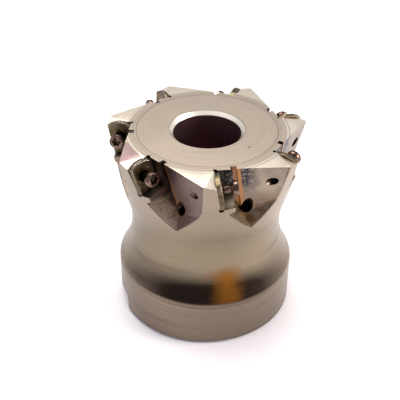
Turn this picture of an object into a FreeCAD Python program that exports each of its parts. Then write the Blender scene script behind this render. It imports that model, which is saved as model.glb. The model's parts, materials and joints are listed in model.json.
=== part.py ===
import FreeCAD, Part
import Sketcher
import math
import os

# Shell-type face mill for a 27 mm arbor, standing on the face that meets the arbor,
# with the cutting face up. Origin: centre of that back face. +Z: along the axis, towards
# the cutting face. +X: through the outer edge of the first insert seat.
# Seven pockets, each with a carbide shim, the threaded sleeve that fixes it, and the
# insert screw, which stands backed out. The cutter turns counter-clockwise seen from above.
# Millimetres and degrees.

SIZES = (
    # turned outside of the body
    ("hub_radius", 30.0, "outside of the hub"),
    ("hub_height", 16.5, "top of the straight part of the hub"),
    ("hub_chamfer", 0.8, "chamfer at the foot of the hub"),
    ("shoulder_radius", 3.0, "convex round between hub and neck"),
    ("neck_radius", 25.2, "narrowest radius of the neck"),
    ("neck_curve", 29.0, "radius of the neck's hollow curve"),
    ("head_taper", 15.8, "half angle of the cone under the teeth, degrees"),
    ("head_radius", 32.9, "largest radius of the teeth"),
    ("head_height", 65.2, "height of the teeth at their outside"),
    ("disc_radius", 25.7, "radius of the flat top disc, where the tooth tops start"),
    ("total_height", 65.8, "height of the flat top disc"),
    # bored inside of the body
    ("arbor_bore_radius", 13.5, "pilot bore for the arbor"),
    ("arbor_bore_depth", 22.0, "depth of the pilot bore"),
    ("bore_chamfer", 0.5, "chamfer at the mouth of the pilot bore"),
    ("clamp_hole_radius", 6.75, "clearance hole for the clamp screw"),
    ("counterbore_radius", 11.0, "counterbore for the clamp screw's head"),
    ("counterbore_floor", 33.0, "height of the counterbore's floor"),
    ("counterbore_chamfer", 1.35, "chamfer at the counterbore's mouth"),
    # drive slots in the back face
    ("slot_width", 12.4, "width of the drive slots"),
    ("slot_depth", 6.3, "depth of the drive slots"),
    ("slot_turn", -4.8, "direction of the drive slots, degrees"),
    # pockets
    ("teeth", 7.0, "number of teeth"),
    ("gullet_floor", 24.4, "distance of the gullet's flat floor from the axis, at the top"),
    ("gullet_lean", 11.3, "lean of the gullet's floor from upright, degrees"),
    ("gullet_start", 3.2, "where the gullet's slanted wall starts, across the seat"),
    ("gullet_start_drop", 11.9, "drop of that point below the top"),
    ("gullet_lip", 5.2, "front of the seat's walls at their foot, across the seat"),
    ("gullet_lip_drop", 10.6, "drop of that point"),
    ("gullet_mouth", 3.3, "front of the seat's inner wall at the top, across the seat"),
    ("gullet_wall", 38.3, "lean of the slanted wall from upright, degrees"),
    ("gullet_wall_length", 7.0, "length of the slanted wall along the flat floor"),
    ("gullet_end", 22.6, "far side of the gullet, across the seat"),
    ("sweep_turn", 23.2, "rise of the fold where the floor's lower part starts, degrees"),
    ("sweep_bend", 22.5, "bend at each of the two folds that turn the floor outwards, degrees"),
    ("sweep_width", 1.8, "width of the strip between the two folds"),
    ("sweep_length", 12.0, "width of the strip below the second fold"),
    ("sweep_reach", 18.0, "how far both strips run across the seat"),
    ("channel_depth", 1.5, "depth of the channel below the gullet's floor"),
    ("ridge_top", 5.8, "ridge beside the channel at the top, across the seat"),
    ("ridge_lean", 8.6, "lean of the ridge from upright, degrees"),
    ("ridge_bevel", 0.9, "width of the bevel along the ridge"),
    ("ridge_length", 18.0, "length of that bevel below the top"),
    # insert seat, in a frame on the seat plane with its origin on the screw's axis
    ("seat_radial", 28.2, "seat origin, distance from the axis"),
    ("seat_across", -0.4, "seat origin, across the seat"),
    ("seat_height", 60.9, "seat origin, height"),
    ("axial_rake", 9.5, "tilt of the seat towards the cutting face, degrees"),
    ("radial_rake", 3.2, "tilt of the seat outwards, degrees"),
    ("seat_twist", 10.5, "turn of the seat's walls in their own plane, degrees"),
    ("seat_inner", 4.4, "screw axis to the seat's inner wall"),
    ("seat_bottom", 5.7, "screw axis to the seat's bottom wall"),
    ("seat_clear", 6.3, "depth cut free in front of the seat plane"),
    ("inner_relief", 0.6, "radius of the relief groove along the inner wall"),
    ("bottom_relief", 0.85, "radius of the relief groove along the bottom wall"),
    ("relief_lift", 0.3, "centres of both grooves in front of the seat plane"),
    ("facet_radial", 27.8, "inner corner of the facet behind the seat, distance from the axis"),
    ("facet_across", -2.4, "that corner, across the seat"),
    ("facet_height", 65.6, "height of that corner"),
    ("facet_slope", 17.2, "slope of the facet, degrees"),
    ("facet_turn", 49.7, "direction the facet falls in, degrees"),
    ("facet_inside", 4.0, "reach of the facet's cut inwards from its corner"),
    ("facet_behind", 7.0, "reach of that cut away from the seat"),
    ("facet_ahead", 2.0, "reach of that cut towards the seat"),
    # coolant hole
    ("coolant_radius", 1.8, "radius of the coolant hole"),
    ("coolant_radial", 21.3, "coolant hole's mouth, distance from the axis"),
    ("coolant_across", 10.1, "coolant hole's mouth, across the seat"),
    ("coolant_height", 49.8, "height of the coolant hole's mouth"),
    ("coolant_slope", 48.0, "slope of the coolant hole, degrees"),
    ("coolant_turn", 12.0, "turn of the coolant hole towards the axis, degrees"),
    ("coolant_length", 18.0, "length of the coolant hole"),
    # shim
    ("shim_thickness", 1.6, "thickness of the shim"),
    ("shim_gap", 0.06, "gap between the shim and the seat's walls"),
    ("shim_arc", 6.8, "radius of the shim's round top"),
    ("shim_arc_up", -1.7, "centre of that arc, up the seat"),
    ("shim_arc_out", 0.2, "centre of that arc, outwards"),
    ("shim_outer", 2.9, "screw axis to the shim's outer edge at its foot"),
    ("shim_outer_lean", 4.3, "lean of the shim's outer edge, degrees"),
    ("shim_chamfer", 0.35, "chamfer round the shim's front"),
    # sleeve that fixes the shim
    ("flange_radius", 2.85, "radius of the sleeve's flange"),
    ("flange_thickness", 0.6, "thickness of the sleeve's flange"),
    ("flange_sink", 0.15, "depth of the flange below the shim's front"),
    ("sleeve_radius", 2.5, "radius of the sleeve's thread"),
    ("sleeve_length", 3.0, "length of the sleeve inside the body"),
    ("sleeve_chamfer", 0.3, "chamfer at the sleeve's inner end"),
    ("sleeve_end_gap", 0.3, "gap behind the sleeve's inner end"),
    ("screw_hole_depth", 12.0, "depth of the hole behind the sleeve"),
    ("sleeve_hex", 3.6, "width across flats of the sleeve's socket"),
    ("sleeve_hex_depth", 1.3, "depth of the sleeve's socket"),
    # insert screw
    ("thread_radius", 1.5, "radius of the insert screw's thread"),
    ("thread_length", 4.0, "length of the thread"),
    ("thread_chamfer", 0.4, "chamfer at the end of the thread"),
    ("running_gap", 0.05, "radial gap between screw and sleeve, and sleeve and body"),
    ("neck_screw_radius", 1.25, "radius of the screw's neck"),
    ("neck_screw_length", 4.4, "length of the screw's neck"),
    ("screw_head_radius", 2.35, "radius of the screw's head"),
    ("screw_head_height", 2.3, "height of the screw's head"),
    ("screw_cone_height", 0.75, "height of the cone under the head"),
    ("screw_rim_bevel", 0.3, "bevel of the head's rim"),
    ("screw_standoff", 2.5, "how far the head stands off the shim"),
    ("socket_radius", 1.5, "outer radius of the six-lobed socket"),
    ("socket_lobe", 0.45, "radius of one lobe of the socket"),
    ("socket_core", 0.75, "share of a lobe's radius left outside the socket's round core"),
    ("socket_depth", 1.3, "depth of the socket"),
)

REACH = 40.0        # longer than any cut has to be
RUN_OUT = 6.0       # how far a short cut starts or ends past the metal
MARGIN = 1.0        # how far the bored outline passes the end faces
LEVEL = 1e-6        # largest difference in height along one level edge
SIX = 6             # sides of a hexagon, lobes of a socket

doc = FreeCAD.newDocument("face_mill")
sheet = doc.addObject("Spreadsheet::Sheet", "Sizes")


class Size:
    """A length or angle: its number, and the expression that gives it from the sheet."""

    def __init__(self, number, words=None):
        self.number = number
        self.words = words or repr(float(number))

    def __add__(self, other):
        other = as_size(other)
        return Size(self.number + other.number, "(%s + %s)" % (self.words, other.words))

    def __sub__(self, other):
        other = as_size(other)
        return Size(self.number - other.number, "(%s - %s)" % (self.words, other.words))

    def __mul__(self, other):
        other = as_size(other)
        return Size(self.number * other.number, "(%s * %s)" % (self.words, other.words))

    def __truediv__(self, other):
        other = as_size(other)
        return Size(self.number / other.number, "(%s / %s)" % (self.words, other.words))

    def __neg__(self):
        return Size(-self.number, "(-1 * %s)" % self.words)


def as_size(value):
    return value if isinstance(value, Size) else Size(value)


def sine(angle):
    return Size(math.sin(math.radians(angle.number)), "sin(%s)" % angle.words)


def cosine(angle):
    return Size(math.cos(math.radians(angle.number)), "cos(%s)" % angle.words)


def tangent(angle):
    return Size(math.tan(math.radians(angle.number)), "tan(%s)" % angle.words)


def root(value):
    return Size(math.sqrt(value.number), "sqrt(%s)" % value.words)


def fill_sheet():
    """Write the driving dimensions and return them by name."""
    named = {}
    for row, (alias, value, meaning) in enumerate(SIZES, start=1):
        sheet.set("A%d" % row, alias)
        sheet.set("B%d" % row, repr(value))
        sheet.setAlias("B%d" % row, alias)
        sheet.set("C%d" % row, meaning)
        named[alias] = Size(value, "Sizes." + alias)
    doc.recompute()
    return named


S = fill_sheet()
PITCH = 360.0 / S["teeth"].number


def vector(x, y, z=0.0):
    return FreeCAD.Vector(x, y, z)


def turned(angle):
    """A turn about the cutter's axis."""
    return FreeCAD.Placement(vector(0, 0), FreeCAD.Rotation(vector(0, 0, 1), angle))


def seat_frame():
    """Frame on the first seat: X up the inner wall, Y outwards, Z out of the seat."""
    tilt = math.radians(S["axial_rake"].number)
    lean = math.radians(S["radial_rake"].number)
    out = vector(math.sin(lean) * math.cos(tilt), math.cos(lean) * math.cos(tilt), math.sin(tilt))
    sideways = out.cross(vector(0, 0, 1)).normalize()
    upwards = sideways.cross(out)
    place = vector(S["seat_radial"].number, S["seat_across"].number, S["seat_height"].number)
    flat = FreeCAD.Placement(place, FreeCAD.Rotation(upwards, sideways, out, "ZXY"))
    twist = FreeCAD.Rotation(vector(0, 0, 1), S["seat_twist"].number)
    return flat * FreeCAD.Placement(vector(0, 0), twist)


SEAT = seat_frame()


def new_body(name):
    body = doc.addObject("PartDesign::Body", name)
    body.Label = name
    return body


def new_sketch(body, name, plane="XY_Plane", offset=None):
    sketch = body.newObject("Sketcher::SketchObject", name)
    support = next(item for item in body.Origin.OriginFeatures if item.Role == plane)
    sketch.AttachmentSupport = [(support, "")]
    sketch.MapMode = "FlatFace"
    if offset is not None:
        sketch.AttachmentOffset = offset
    return sketch


def bind(sketch, kind, args, size):
    """Add a dimension to a sketch and tie it to the sheet."""
    index = sketch.addConstraint(Sketcher.Constraint(kind, *args, size.number))
    sketch.setExpression("Constraints[%d]" % index, size.words)


def pin_point(sketch, edge, end, x, y):
    """Tie one point of a sketch to its two coordinates."""
    for axis, value, kind in ((-2, x, "DistanceX"), (-1, y, "DistanceY")):
        if as_size(value).number == 0.0:
            sketch.addConstraint(Sketcher.Constraint("PointOnObject", edge, end, axis))
        else:
            bind(sketch, kind, (-1, 1, edge, end), as_size(value))


def outline(sketch, corners):
    """Draw a closed outline. A corner is (x, y), or (x, y, arc) when an arc leaves it:
    arc is (centre x, centre y, radius, direction), direction 1 counter-clockwise, -1 clockwise."""
    ends = []
    count = len(corners)
    for number, corner in enumerate(corners):
        after = corners[(number + 1) % count]
        start = vector(as_size(corner[0]).number, as_size(corner[1]).number)
        stop = vector(as_size(after[0]).number, as_size(after[1]).number)
        if len(corner) == 2:
            edge = sketch.addGeometry(Part.LineSegment(start, stop), False)
            ends.append((edge, 1, 2))
        else:
            middle_x, middle_y, radius, direction = corner[2]
            middle = vector(middle_x.number, middle_y.number)
            angles = [math.atan2((p - middle).y, (p - middle).x) for p in (start, stop)]
            if direction < 0:
                angles.reverse()
            whole = Part.Circle(middle, vector(0, 0, 1), radius.number)
            edge = sketch.addGeometry(Part.ArcOfCircle(whole, *angles), False)
            ends.append((edge, 1, 2) if direction > 0 else (edge, 2, 1))
            bind(sketch, "Radius", (edge,), radius)
    for number, (edge, first, last) in enumerate(ends):
        following = ends[(number + 1) % count]
        sketch.addConstraint(Sketcher.Constraint("Coincident", edge, last, following[0], following[1]))
        pin_point(sketch, edge, first, *corners[number][:2])


def circle(sketch, x, y, radius):
    shape = Part.Circle(vector(as_size(x).number, as_size(y).number), vector(0, 0, 1), radius.number)
    edge = sketch.addGeometry(shape, False)
    bind(sketch, "Radius", (edge,), radius)
    pin_point(sketch, edge, 3, x, y)


def extrusion(body, kind, name, sketch, length, reverse=False):
    """A Pad along the sketch's normal or a Pocket against it, unless reversed."""
    feature = body.newObject("PartDesign::" + kind, name)
    feature.Profile = sketch
    feature.Reversed = reverse
    length = as_size(length)
    feature.Length = length.number
    feature.setExpression("Length", length.words)
    sketch.Visibility = False
    return feature


def spin(body, kind, name, sketch):
    """A Revolution or a Groove all round the sketch's vertical axis."""
    feature = body.newObject("PartDesign::" + kind, name)
    feature.Profile = sketch
    feature.ReferenceAxis = (sketch, ["V_Axis"])
    feature.Angle = 360.0
    sketch.Visibility = False
    return feature


def turn_outside(body):
    """The turned outside: hub, shoulder, hollow neck, cone and tooth tops."""
    sketch = new_sketch(body, "outside_profile", "XZ_Plane")
    inner = S["hub_radius"] - S["shoulder_radius"]
    curve_x = S["neck_radius"] + S["neck_curve"]
    apart = S["shoulder_radius"] + S["neck_curve"]
    run = curve_x - inner
    rise = root(apart * apart - run * run)
    curve_z = S["hub_height"] + rise
    share = S["shoulder_radius"] / apart
    cone_x = curve_x - S["neck_curve"] * cosine(S["head_taper"])
    cone_z = curve_z + S["neck_curve"] * sine(S["head_taper"])
    cone_top = cone_z + (S["head_radius"] - cone_x) / tangent(S["head_taper"])
    outline(sketch, [
        (0, 0),
        (S["hub_radius"] - S["hub_chamfer"], 0),
        (S["hub_radius"], S["hub_chamfer"]),
        (S["hub_radius"], S["hub_height"], (inner, S["hub_height"], S["shoulder_radius"], 1)),
        (inner + run * share, S["hub_height"] + rise * share,
         (curve_x, curve_z, S["neck_curve"], -1)),
        (cone_x, cone_z),
        (S["head_radius"], cone_top),
        (S["head_radius"], S["head_height"]),
        (S["disc_radius"], S["total_height"]),
        (0, S["total_height"]),
    ])
    return spin(body, "Revolution", "outside", sketch)


def bore_inside(body):
    """The bored inside: pilot bore, clamp-screw hole and counterbore."""
    sketch = new_sketch(body, "inside_profile", "XZ_Plane")
    below = Size(-MARGIN)
    beyond = S["total_height"] + MARGIN
    outline(sketch, [
        (0, below),
        (S["arbor_bore_radius"] + S["bore_chamfer"] + MARGIN, below),
        (S["arbor_bore_radius"], S["bore_chamfer"]),
        (S["arbor_bore_radius"], S["arbor_bore_depth"]),
        (S["clamp_hole_radius"], S["arbor_bore_depth"]),
        (S["clamp_hole_radius"], S["counterbore_floor"]),
        (S["counterbore_radius"], S["counterbore_floor"]),
        (S["counterbore_radius"], S["total_height"] - S["counterbore_chamfer"]),
        (S["counterbore_radius"] + S["counterbore_chamfer"] + MARGIN, beyond),
        (0, beyond),
    ])
    return spin(body, "Groove", "inside", sketch)


def rectangle(sketch, left, low, right, high):
    outline(sketch, [(left, low), (right, low), (right, high), (left, high)])


def drive_slots(body):
    """The slot across the back face that the arbor's driving keys fill."""
    sketch = new_sketch(body, "slot_profile", "XY_Plane", turned(S["slot_turn"].number))
    half = S["slot_width"] / 2.0
    rectangle(sketch, Size(-REACH), -half, Size(REACH), half)
    return extrusion(body, "Pocket", "drive_slots", sketch, S["slot_depth"], reverse=True)


def gullet_floor_place(depth=0.0):
    """Placement on the gullet's leaning floor: X across the seat, Y up, origin at the top."""
    lean = FreeCAD.Rotation(vector(1, 0, 0), S["gullet_lean"].number)
    deeper = lean.multVec(vector(0, 0, -depth))
    top = vector(0, S["total_height"].number, S["gullet_floor"].number)
    return FreeCAD.Placement(top + deeper, lean)


def fold_start():
    """Lower end of the gullet's slanted wall, where the floor starts to turn outwards."""
    across = S["gullet_start"] + S["gullet_wall_length"] * sine(S["gullet_wall"])
    up = -S["gullet_start_drop"] - S["gullet_wall_length"] * cosine(S["gullet_wall"])
    return across, up


def ridge_across(drop):
    """Where the ridge is, across the seat, at a drop below the top."""
    return S["ridge_top"] + drop * tangent(S["ridge_lean"])


def chip_gullet(body):
    """The wide chip space: a flat floor facing outwards, open to the top and outside."""
    sketch = new_sketch(body, "gullet_profile", "YZ_Plane", gullet_floor_place())
    beyond = Size(RUN_OUT)
    fold_x, fold_y = fold_start()
    outline(sketch, [
        (S["gullet_mouth"], beyond),
        (S["gullet_lip"], -S["gullet_lip_drop"]),
        (S["gullet_start"], -S["gullet_start_drop"]),
        (fold_x, fold_y),
        (S["gullet_end"], fold_y + (S["gullet_end"] - fold_x) * tangent(S["sweep_turn"])),
        (S["gullet_end"], beyond),
    ])
    return extrusion(body, "Pocket", "gullet", sketch, REACH, reverse=True)


def sweep_cut(body, name, place, width):
    """Cut above one strip of the floor's lower part, square to the flat floor."""
    sketch = new_sketch(body, name + "_profile", "YZ_Plane", place)
    outline(sketch, [
        (0, 0),
        (strip_inset(width), -width),
        (S["sweep_reach"], -width),
        (S["sweep_reach"], 0),
    ])
    feature = extrusion(body, "Pocket", name, sketch, REACH)
    lean = math.radians(S["gullet_lean"].number)
    feature.UseCustomVector = True
    feature.Direction = vector(math.cos(lean), 0, -math.sin(lean))
    return feature


def strip_inset(width):
    """How far the slanted wall moves across a strip of the floor's lower part."""
    return width * cosine(S["sweep_bend"]) * tangent(S["gullet_wall"] - S["sweep_turn"])


def gullet_sweep(body):
    """The lower part of the floor: two strips that turn outwards and run out of the body."""
    fold_x, fold_y = fold_start()
    bend = FreeCAD.Rotation(vector(1, 0, 0), -S["sweep_bend"].number)
    turn = FreeCAD.Rotation(vector(0, 0, 1), S["sweep_turn"].number)
    start = FreeCAD.Placement(vector(fold_x.number, fold_y.number, 0), turn * bend)
    first = gullet_floor_place() * start
    width = S["sweep_width"]
    step = FreeCAD.Placement(vector(strip_inset(width).number, -width.number, 0), bend)
    return [
        sweep_cut(body, "gullet_bend", first, width),
        sweep_cut(body, "gullet_sweep", first * step, S["sweep_length"]),
    ]


def chip_channel(body):
    """The deeper channel between the seat and the ridge."""
    floor = gullet_floor_place(S["channel_depth"].number)
    sketch = new_sketch(body, "channel_profile", "YZ_Plane", floor)
    beyond = Size(RUN_OUT)
    fall = Size(1.0) / tangent(S["gullet_wall"])
    lean = tangent(S["ridge_lean"])
    gap = ridge_across(S["gullet_start_drop"]) - S["gullet_start"]
    run = gap / (Size(1.0) - lean * fall)
    outline(sketch, [
        (S["gullet_mouth"], beyond),
        (S["gullet_lip"], -S["gullet_lip_drop"]),
        (S["gullet_start"], -S["gullet_start_drop"]),
        (S["gullet_start"] + run, -S["gullet_start_drop"] - run * fall),
        (ridge_across(-beyond), beyond),
    ])
    return extrusion(body, "Pocket", "channel", sketch, REACH, reverse=True)


def ridge_bevel(body):
    """A bevel along the ridge, cut parallel to it."""
    upright = FreeCAD.Rotation(vector(1, 0, 0), 90)
    start = vector(ridge_across(Size(-RUN_OUT)).number, RUN_OUT, 0)
    aim = FreeCAD.Rotation(vector(0, 0, 1), S["ridge_lean"].number)
    place = gullet_floor_place() * FreeCAD.Placement(start, aim * upright)
    sketch = new_sketch(body, "ridge_profile", "YZ_Plane", place)
    width = S["ridge_bevel"]
    outline(sketch, [(-width, -width), (width, width), (-width, width)])
    length = S["ridge_length"] + RUN_OUT
    return extrusion(body, "Pocket", "ridge_bevel", sketch, length, reverse=True)


def insert_seat(body):
    """The seat for shim and insert: a flat back, an inner wall and a bottom wall."""
    sketch = new_sketch(body, "seat_profile", "XY_Plane", SEAT)
    rectangle(sketch, -S["seat_bottom"], -S["seat_inner"], Size(REACH), Size(REACH))
    return extrusion(body, "Pocket", "seat", sketch, S["seat_clear"], reverse=True)


def relief_grooves(body):
    """Round grooves that clear the corners between the seat and its two walls."""
    corner = vector(-S["seat_bottom"].number, -S["seat_inner"].number, S["relief_lift"].number)
    along_bottom = FreeCAD.Placement(corner, FreeCAD.Rotation(vector(1, 0, 0), -90))
    bottom = new_sketch(body, "bottom_relief_profile", "XY_Plane", SEAT * along_bottom)
    circle(bottom, 0, 0, S["bottom_relief"])
    first = extrusion(body, "Pocket", "bottom_relief", bottom, REACH, reverse=True)
    along_inner = FreeCAD.Placement(corner, FreeCAD.Rotation(vector(0, 1, 0), 90))
    inner = new_sketch(body, "inner_relief_profile", "XY_Plane", SEAT * along_inner)
    circle(inner, 0, 0, S["inner_relief"])
    second = extrusion(body, "Pocket", "inner_relief", inner, REACH, reverse=True)
    return [first, second]


def sleeve_hole(body):
    """The stepped hole behind the seat: wide for the sleeve, then narrow to the back."""
    wide = new_sketch(body, "sleeve_hole_profile", "XY_Plane", SEAT)
    circle(wide, 0, 0, S["sleeve_radius"] + S["running_gap"])
    depth = S["sleeve_length"] + S["sleeve_end_gap"]
    first = extrusion(body, "Pocket", "sleeve_hole", wide, depth)
    narrow = new_sketch(body, "screw_hole_profile", "XY_Plane", SEAT)
    circle(narrow, 0, 0, S["thread_radius"] + S["running_gap"])
    second = extrusion(body, "Pocket", "screw_hole", narrow, S["screw_hole_depth"])
    return [first, second]


def coolant_hole(body):
    """The slanted hole from the counterbore to the gullet's floor."""
    mouth = vector(S["coolant_radial"].number, S["coolant_across"].number, S["coolant_height"].number)
    outwards = FreeCAD.Rotation(vector(0, 0, 1), S["coolant_turn"].number) \
        * FreeCAD.Rotation(vector(0, 1, 0), 90.0 - S["coolant_slope"].number)
    start = mouth + outwards.multVec(vector(0, 0, RUN_OUT))
    sketch = new_sketch(body, "coolant_profile", "XY_Plane", FreeCAD.Placement(start, outwards))
    circle(sketch, 0, 0, S["coolant_radius"])
    return extrusion(body, "Pocket", "coolant_hole", sketch, S["coolant_length"] + RUN_OUT)


def corner_facet(body):
    """The small facet on the tooth's outer top corner, behind the seat."""
    corner = vector(S["facet_radial"].number, S["facet_across"].number, S["facet_height"].number)
    fall = FreeCAD.Rotation(vector(0, 0, 1), S["facet_turn"].number) \
        * FreeCAD.Rotation(vector(0, 1, 0), S["facet_slope"].number)
    sketch = new_sketch(body, "corner_facet_profile", "XY_Plane", FreeCAD.Placement(corner, fall))
    rectangle(sketch, -S["facet_inside"], -S["facet_behind"], Size(REACH), S["facet_ahead"])
    return extrusion(body, "Pocket", "corner_facet", sketch, RUN_OUT, reverse=True)


def make_cutter_body():
    """The one-piece steel body."""
    body = new_body("cutter_body")
    turn_outside(body)
    bore_inside(body)
    drive_slots(body)
    cuts = [
        chip_gullet(body),
        chip_channel(body),
        ridge_bevel(body),
        corner_facet(body),
        insert_seat(body),
    ]
    cuts += gullet_sweep(body)
    cuts += relief_grooves(body)
    cuts += sleeve_hole(body)
    cuts.append(coolant_hole(body))
    pattern = body.newObject("PartDesign::PolarPattern", "teeth")
    pattern.Originals = cuts
    axis = next(item for item in body.Origin.OriginFeatures if item.Role == "Z_Axis")
    pattern.Axis = (axis, [""])
    pattern.Angle = 360.0
    pattern.setExpression("Occurrences", S["teeth"].words)
    body.Tip = pattern
    return body


def in_pocket(number):
    """Placement that carries a piece from the seat's own frame to one of the pockets."""
    return turned(PITCH * (number - 1)) * SEAT


def make_shim(number):
    """The carbide plate on the seat: straight sides and a round top."""
    body = new_body("shim_%d" % number)
    sketch = new_sketch(body, "shim_profile")
    foot = -S["seat_bottom"] + S["shim_gap"]
    inner = -S["seat_inner"] + S["shim_gap"]
    centre = vector(S["shim_arc_up"].number, S["shim_arc_out"].number)
    radius = S["shim_arc"].number
    lean = math.radians(S["shim_outer_lean"].number)
    inner_foot = vector(foot.number, inner.number)
    outer_foot = vector(foot.number, S["shim_outer"].number)
    inner_top = vector(centre.x + math.sqrt(radius ** 2 - (inner.number - centre.y) ** 2), inner.number)
    along = vector(math.cos(lean), math.sin(lean))
    reach = (outer_foot - centre).dot(along)
    across = (outer_foot - centre).dot(vector(-along.y, along.x))
    outer_top = outer_foot + along * (math.sqrt(radius ** 2 - across ** 2) - reach)
    start = math.atan2(inner_top.y - centre.y, inner_top.x - centre.x)
    stop = math.atan2(outer_top.y - centre.y, outer_top.x - centre.x)
    bottom_edge = sketch.addGeometry(Part.LineSegment(outer_foot, inner_foot), False)
    inner_edge = sketch.addGeometry(Part.LineSegment(inner_foot, inner_top), False)
    arc = sketch.addGeometry(
        Part.ArcOfCircle(Part.Circle(centre, vector(0, 0, 1), radius), start, stop), False)
    outer_edge = sketch.addGeometry(Part.LineSegment(outer_top, outer_foot), False)
    for one, two in (((bottom_edge, 2), (inner_edge, 1)), ((inner_edge, 2), (arc, 1)),
                     ((arc, 2), (outer_edge, 1)), ((outer_edge, 2), (bottom_edge, 1))):
        sketch.addConstraint(Sketcher.Constraint("Coincident", *one, *two))
    pin_point(sketch, inner_edge, 1, foot, inner)
    pin_point(sketch, bottom_edge, 1, foot, S["shim_outer"])
    pin_point(sketch, arc, 3, S["shim_arc_up"], S["shim_arc_out"])
    bind(sketch, "Radius", (arc,), S["shim_arc"])
    sketch.addConstraint(Sketcher.Constraint("Horizontal", inner_edge))
    lean_index = sketch.addConstraint(
        Sketcher.Constraint("Angle", -1, 1, outer_edge, 2, lean))
    sketch.setExpression("Constraints[%d]" % lean_index, S["shim_outer_lean"].words + " * 1 deg")
    extrusion(body, "Pad", "plate", sketch, S["shim_thickness"])
    through = new_sketch(body, "sleeve_passage")
    circle(through, 0, 0, S["sleeve_radius"] + S["running_gap"])
    extrusion(body, "Pocket", "passage", through, REACH, reverse=True)
    seat = new_sketch(body, "flange_seat")
    seat.setExpression("AttachmentOffset.Base.z", S["shim_thickness"].words)
    circle(seat, 0, 0, S["flange_radius"] + S["running_gap"])
    recess = extrusion(body, "Pocket", "flange_recess", seat, S["flange_thickness"] + S["flange_sink"])
    doc.recompute()
    rim = rim_edges(recess.Shape, S["shim_thickness"].number)
    chamfer = body.newObject("PartDesign::Chamfer", "front_chamfer")
    chamfer.Base = (recess, rim)
    chamfer.setExpression("Size", S["shim_chamfer"].words)
    body.Tip = chamfer
    body.Placement = in_pocket(number)
    return body


def rim_edges(shape, height):
    """Names of the outer edges that lie at a height, the round hole's edge left out."""
    names = []
    for index, edge in enumerate(shape.Edges, start=1):
        level = all(abs(point.z - height) < LEVEL for point in edge.discretize(SIX))
        closed = len(edge.Vertexes) == 1
        if level and not closed:
            names.append("Edge%d" % index)
    return names


def hexagon(sketch, across_flats):
    """A hexagon round the sketch's origin."""
    corner = across_flats / Size(math.sqrt(3.0), "sqrt(3)")
    corners = []
    for step in range(SIX):
        angle = Size(60.0 * step + 30.0)
        corners.append((corner * cosine(angle), corner * sine(angle)))
    corners[1] = (0, corners[1][1])
    corners[4] = (0, corners[4][1])
    outline(sketch, corners)


def make_sleeve(number):
    """The threaded sleeve: a flange, a thread, a socket and an inner thread."""
    body = new_body("shim_sleeve_%d" % number)
    sketch = new_sketch(body, "sleeve_profile", "XZ_Plane")
    front = S["shim_thickness"] - S["flange_sink"]
    bore = S["thread_radius"] + S["running_gap"]
    outline(sketch, [
        (bore, -S["sleeve_length"]),
        (S["sleeve_radius"] - S["sleeve_chamfer"], -S["sleeve_length"]),
        (S["sleeve_radius"], S["sleeve_chamfer"] - S["sleeve_length"]),
        (S["sleeve_radius"], front - S["flange_thickness"]),
        (S["flange_radius"], front - S["flange_thickness"]),
        (S["flange_radius"], front),
        (bore, front),
    ])
    spin(body, "Revolution", "turned", sketch)
    socket = new_sketch(body, "socket_profile")
    socket.setExpression("AttachmentOffset.Base.z", front.words)
    hexagon(socket, S["sleeve_hex"])
    extrusion(body, "Pocket", "socket", socket, S["sleeve_hex_depth"])
    body.Placement = in_pocket(number)
    return body


def make_screw(number):
    """The insert screw: thread, neck, cone, head and a six-lobed socket."""
    body = new_body("insert_screw_%d" % number)
    sketch = new_sketch(body, "screw_profile", "XZ_Plane")
    under = S["shim_thickness"] + S["screw_standoff"]
    top = under + S["screw_head_height"]
    neck_end = under - S["neck_screw_length"]
    end = neck_end - S["thread_length"]
    step = S["thread_radius"] - S["neck_screw_radius"]
    outline(sketch, [
        (0, end),
        (S["thread_radius"] - S["thread_chamfer"], end),
        (S["thread_radius"], end + S["thread_chamfer"]),
        (S["thread_radius"], neck_end - step),
        (S["neck_screw_radius"], neck_end),
        (S["neck_screw_radius"], under),
        (S["screw_head_radius"], under + S["screw_cone_height"]),
        (S["screw_head_radius"], top - S["screw_rim_bevel"]),
        (S["screw_head_radius"] - S["screw_rim_bevel"], top),
        (0, top),
    ])
    spin(body, "Revolution", "turned", sketch)
    core = new_sketch(body, "socket_core")
    core.setExpression("AttachmentOffset.Base.z", top.words)
    lobe = new_sketch(body, "socket_lobe")
    lobe.setExpression("AttachmentOffset.Base.z", top.words)
    circle(core, 0, 0, S["socket_radius"] - S["socket_lobe"] * S["socket_core"])
    circle(lobe, S["socket_radius"] - S["socket_lobe"], 0, S["socket_lobe"])
    extrusion(body, "Pocket", "socket", core, S["socket_depth"])
    notch = extrusion(body, "Pocket", "lobe", lobe, S["socket_depth"])
    lobes = body.newObject("PartDesign::PolarPattern", "lobes")
    lobes.Originals = [notch]
    axis = next(item for item in body.Origin.OriginFeatures if item.Role == "Z_Axis")
    lobes.Axis = (axis, [""])
    lobes.Angle = 360.0
    lobes.Occurrences = SIX
    body.Tip = lobes
    body.Placement = in_pocket(number)
    return body


def faults():
    """Every object that failed to compute, and every piece whose shape is not sound."""
    found = [item.Name for item in doc.Objects if {"Invalid", "Error"} & set(item.State)]
    for piece in pieces:
        if piece.Shape.isNull() or not piece.Shape.isValid() or len(piece.Shape.Solids) != 1:
            found.append(piece.Label)
    return found


pieces = [make_cutter_body()]
for pocket in range(1, int(S["teeth"].number) + 1):
    pieces.append(make_shim(pocket))
    pieces.append(make_sleeve(pocket))
    pieces.append(make_screw(pocket))
doc.recompute()

broken = faults()
if broken:
    raise RuntimeError("not sound: " + ", ".join(broken))

os.makedirs("parts", exist_ok=True)
for piece in pieces:
    piece.Shape.exportStep("parts/%s.step" % piece.Label)
    print("%-18s %9.1f mm3" % (piece.Label, piece.Shape.Volume))
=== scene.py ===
"""A shell face mill with seven screw-on insert seats, dressed and lit in a small studio."""

import json
import logging
import math
from dataclasses import dataclass, field
from enum import IntEnum
from typing import Any

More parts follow.
